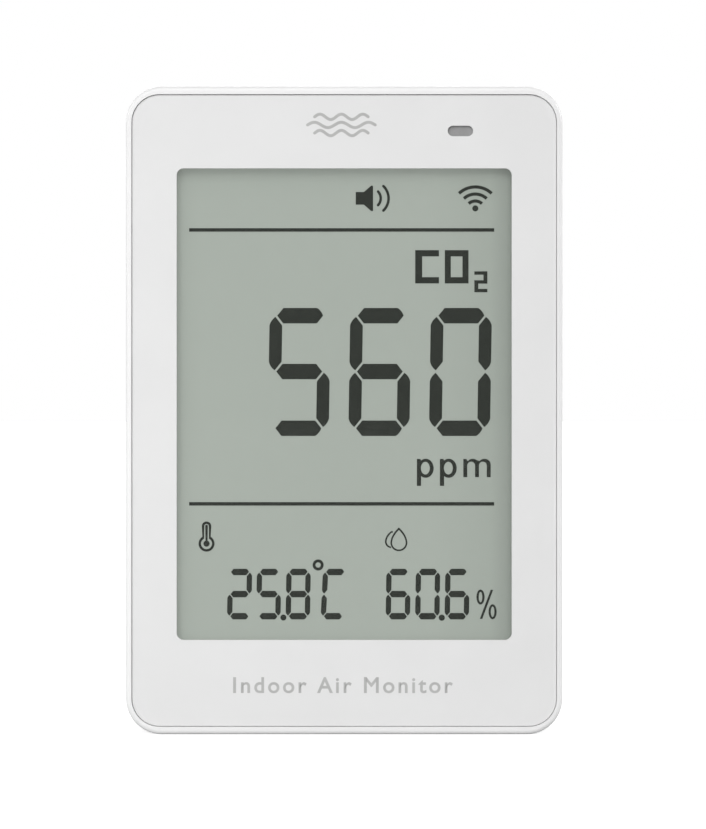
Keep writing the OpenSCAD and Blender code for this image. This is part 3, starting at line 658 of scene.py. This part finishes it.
def gas_name():
    """The gas's formula, in square letters with a small number low on the right."""
    foot, top, level, post = 17.21, 21.95, 0.89, 0.86
    letter_c = square_c(10.11, 13.5, foot, top, 1.0, level)
    letter_o = [block(14.33, foot, 17.71, top), block(14.33 + post, foot + level, 17.71 - post, top - level)]
    two = square_two(18.54, 20.4, 15.95, 18.93, middle=17.18, post=0.56, level=0.48)
    return [letter_c, *letter_o, two]


def sound_icon():
    """A loudspeaker with two waves."""
    back, neck, rim, corner_r = 1.64, 2.8, 3.84, 0.15
    speaker = [(back, 28.43), (neck, 28.43), (rim, 27.51)] + arc(3.96, 27.64, corner_r, -120, 0, 4)
    speaker += arc(3.96, 31.01, corner_r, 0, 120, 4) + [(rim, 31.14), (neck, 30.24), (back, 30.24)]
    waves = []
    for cx, radius, reach in ((3.78, 1.42, 43), (3.9, 2.42, 46)):
        waves.append(stroke(arc(cx, 29.33, radius, -reach, reach), 0.38, True))
    return [speaker, *waves]


def radio_icon():
    """A dot with three waves over it."""
    centre, half_spread = 18.68, 43.5
    waves = [stroke(arc(centre, 27.58, radius, 90 + half_spread, 90 - half_spread), 0.46)
             for radius in (1.37, 2.36, 3.38)]
    return [oval(centre, 27.9, 0.43), *waves]


def thermometer_icon():
    """A tube and bulb drawn as a line, with the filled stem inside."""
    tube, bulb, edge = 0.5, 0.96, 0.36
    centre, bulb_z, top_z = -19.62, -19.87, -17.39
    lean_in = math.degrees(math.asin(tube / bulb))
    outside = arc(centre, top_z, tube + edge / 2, 0, 180)
    outside += arc(centre, bulb_z, bulb + edge / 2, 90 + lean_in, 450 - lean_in, 40)
    inside = arc(centre, top_z, tube - edge / 2, 0, 180)
    inside += arc(centre, bulb_z, bulb - edge / 2, 116, 424, 40)
    stem = arc(centre, bulb_z, 0.44, 110, 430, 24) + arc(centre, top_z + 0.03, 0.19, 0, 180, 8)
    return [outside, inside, stem]


def drop(cx, cz, radius, top, grow=0.0):
    """A drop's outline: a round foot, and two bowed sides that meet at top."""
    steps = 12
    r = radius + grow
    foot = arc(cx, cz, r, 180, 360, 24)
    tip = top + grow * 1.5
    side = []
    for i in range(1, steps + 1):
        t = i / steps
        keep = 1 - t
        side.append((cx + r * keep ** 2 + 2 * keep * t * r * 0.96,
                     cz + 2 * keep * t * r * 0.9 + t * t * (tip - cz)))
    other = [(2 * cx - x, z) for x, z in reversed(side[:-1])]
    return foot + side + other


def drops_icon():
    """Two drops drawn as lines, the smaller one partly behind the larger."""
    line = 0.24
    near = dict(cx=7.79, cz=-19.74, radius=1.09, top=-17.74)
    far = drop(cx=6.78, cz=-19.56, radius=0.86, top=-18.16)
    hiding_z, hiding_r, last_x = -19.56, 1.32, 7.1     # what hides the farther drop, and where it ends
    shown = []
    for x, z in far:
        away = math.hypot(x - near["cx"], (z - hiding_z) * 0.85)
        if away > hiding_r and x < last_x:
            shown.append((x, z))
    start = max(range(len(shown)), key=lambda i: math.dist(shown[i], shown[i - 1]))
    return [drop(**near, grow=line / 2), drop(**near, grow=-line / 2),
            stroke(shown[start:] + shown[:start], line)]


def letter_p(x):
    """Outlines of a lower-case p, from x rightwards, on a baseline at z = 0."""
    stem, right, notch = x + 0.6, x + 0.5, 0.25
    side, top, foot = 125, 2.6, -1.24
    bowl = arc(x + 1.26, 1.27, 1.14, side, -side, 32, rz=1.36)
    counter = oval(x + 1.21, 1.29, 0.63, 0.9)
    return [[(x, foot), (x, top), (right, top), (stem, top - notch), *bowl, (stem, foot)], counter]


def letter_m(x):
    """Outlines of a lower-case m, from x rightwards, on a baseline at z = 0."""
    post, pitch, top, shoulder, notch = 0.56, 1.67, 2.6, 1.8, 0.25
    outside = [(x, 0), (x, top), (x + post - 0.12, top), (x + post, top - notch)]
    for i, (start, end) in enumerate(((140, 50), (142, 0))):
        outside += arc(x + post + 0.79 + pitch * i, shoulder, 0.88, start, end, rz=0.82)
    inside = []
    for i in (1, 0):
        right, left = x + pitch * (i + 1), x + pitch * i + post
        arch = arc((left + right) / 2, shoulder - 0.16, (right - left) / 2, 0, 180, rz=0.57)
        inside += [(right, 0), *arch, (left, 0)]
    return [outside + [(x + 2 * pitch + post, 0)] + inside]


def unit():
    letters = letter_p(10.35) + letter_p(13.63) + letter_m(16.97)
    return [[(x, z + UNIT_FOOT) for x, z in outline] for outline in letters]


def display_marks():
    """Makes everything that the display shows, one piece for each thing that it says."""
    dark = ink("segment_dark", (0.022, 0.024, 0.020), specular=0.15)
    marks = {
        "display_gas_number": gas_number(),
        "display_temperature": temperature(),
        "display_humidity": humidity(),
        "display_rules": rules(),
        "display_gas_name": gas_name(),
        "display_sound_icon": sound_icon(),
        "display_radio_icon": radio_icon(),
        "display_thermometer_icon": thermometer_icon(),
        "display_drops_icon": drops_icon(),
        "display_unit": unit(),
    }
    for name, outlines in marks.items():
        moved = [[(x + GLASS_MID_X, z + GLASS_MID_Z) for x, z in outline] for outline in outlines]
        printed(name, flat_mesh(name, moved, SEGMENT_T), DISPLAY_Y, SEGMENT_T, dark)


# ---- Plain printing on the face ----

def face_caption(grey):
    text = lettering("face_caption", "Indoor Air Monitor", height=2.3, spacing=1.235)
    printed("face_caption", text, FACE_Y, PRINT_T, grey,
            shift=(BODY_MID_X - 0.3, 5.93), grow=0.05)


def face_pictogram(grey):
    """Moving air, drawn as three waving lines."""
    middle_x, middle_z = BODY_MID_X - 0.4, BODY_TOP_Z - 5.45
    line, pitch, height, waves, steps = 0.42, 1.15, 0.38, 2.5, 48
    lines = []
    for row, length in enumerate((7.6, 9.6, 7.6)):
        path = []
        for i in range(steps + 1):
            t = i / steps
            rise = height * math.sin(2 * math.pi * waves * t)
            path.append((middle_x + length * (t - 0.5), middle_z + pitch * (1 - row) + rise))
        lines.append(stroke(path, line, True))
    curve = flat_mesh("face_pictogram", lines, PRINT_T)
    printed("face_pictogram", curve, FACE_Y, PRINT_T, grey)


def face_marks():
    grey = ink("face_print", (0.41, 0.41, 0.405), roughness=0.6)
    face_caption(grey)
    face_pictogram(grey)


# ---- Floor and light ----

WHITE = (1, 1, 1, 1)
FLOOR_HALF = 20.0            # half the table's width, in metres
FLOOR_GLOW = 0.72            # what the camera sees on top of the table's own colour
WORLD_LIGHT = 0.3

# The suns: strength, and then elevation, azimuth and how wide each one looks, in degrees
SUNS = {
    "key": (2.0, 31, -4, 44),
    "left_side": (0.7, 20, -98, 30),
    "right_side": (1.6, 20, 98, 30),
    "back": (1.5, 10, 180, 40),
}


def make_floor():
    """A white studio table. To the camera it glows a little, so that it runs into the white background."""
    mesh = bpy.data.meshes.new("floor")
    corners = [(-1, -1), (1, -1), (1, 1), (-1, 1)]
    mesh.from_pydata([(x * FLOOR_HALF, y * FLOOR_HALF, 0) for x, y in corners], [], [(0, 1, 2, 3)])
    floor = bpy.data.objects.new("floor", mesh)
    s = Shader("floor_white", (0.5, 0.5, 0.5), 0.9, specular=0.1)
    s.mottle(300, 0.004)
    seen = s.add("ShaderNodeLightPath").outputs["Is Camera Ray"]
    s.bsdf.inputs["Emission Color"].default_value = WHITE
    s.link(s.combine("MULTIPLY", seen, FLOOR_GLOW), s.bsdf.inputs["Emission Strength"])
    mesh.materials.append(s.material)
    bpy.context.scene.collection.objects.link(floor)


def direction(elevation, azimuth):
    """From the monitor towards a lamp; azimuth 0 is in front of it and 90 to its right."""
    e, a = math.radians(elevation), math.radians(azimuth)
    return Vector((math.sin(a) * math.cos(e), -math.cos(a) * math.cos(e), math.sin(e)))


def add_lamp(name, data, towards, distance=1.0):
    """Puts a lamp that far away, in metres, and turns it to the monitor."""
    lamp = bpy.data.objects.new(name, data)
    lamp.location = Vector((BODY_MID_X, BODY_LOW[1], BODY_MID_Z)) * MM + towards * distance
    lamp.rotation_euler = towards.to_track_quat("Z", "Y").to_euler()
    bpy.context.scene.collection.objects.link(lamp)


def make_sun(name, strength, elevation, azimuth, softness):
    data = bpy.data.lights.new(name, "SUN")
    data.energy = strength
    data.angle = math.radians(softness)
    add_lamp(name, data, direction(elevation, azimuth))


def make_softbox():
    """A wide, low box close by on the left, whose light falls off to the right."""
    data = bpy.data.lights.new("softbox", "AREA")
    data.shape = "RECTANGLE"
    data.size, data.size_y = 0.25, 0.08
    data.energy = 0.22
    add_lamp("softbox", data, direction(-3, -40), 0.27)


def make_world():
    """Even light all round, which looks plain white to the camera."""
    world = bpy.data.worlds.new("studio")
    world.use_nodes = True
    tree = world.node_tree
    lit = tree.nodes["Background"]
    seen = tree.nodes.new("ShaderNodeBackground")
    for background, strength in ((lit, WORLD_LIGHT), (seen, 1.0)):
        background.inputs["Color"].default_value = WHITE
        background.inputs["Strength"].default_value = strength
    path = tree.nodes.new("ShaderNodeLightPath")
    mix = tree.nodes.new("ShaderNodeMixShader")
    tree.links.new(path.outputs["Is Camera Ray"], mix.inputs["Fac"])
    tree.links.new(lit.outputs["Background"], mix.inputs[1])
    tree.links.new(seen.outputs["Background"], mix.inputs[2])
    tree.links.new(mix.outputs["Shader"], tree.nodes["World Output"].inputs["Surface"])
    bpy.context.scene.world = world


def make_light():
    make_world()
    for name, settings in SUNS.items():
        make_sun(name, *settings)
    make_softbox()
    bpy.context.scene.view_settings.view_transform = "Standard"


make_camera()
dress_nodes()
display_marks()
face_marks()
make_floor()
make_light()
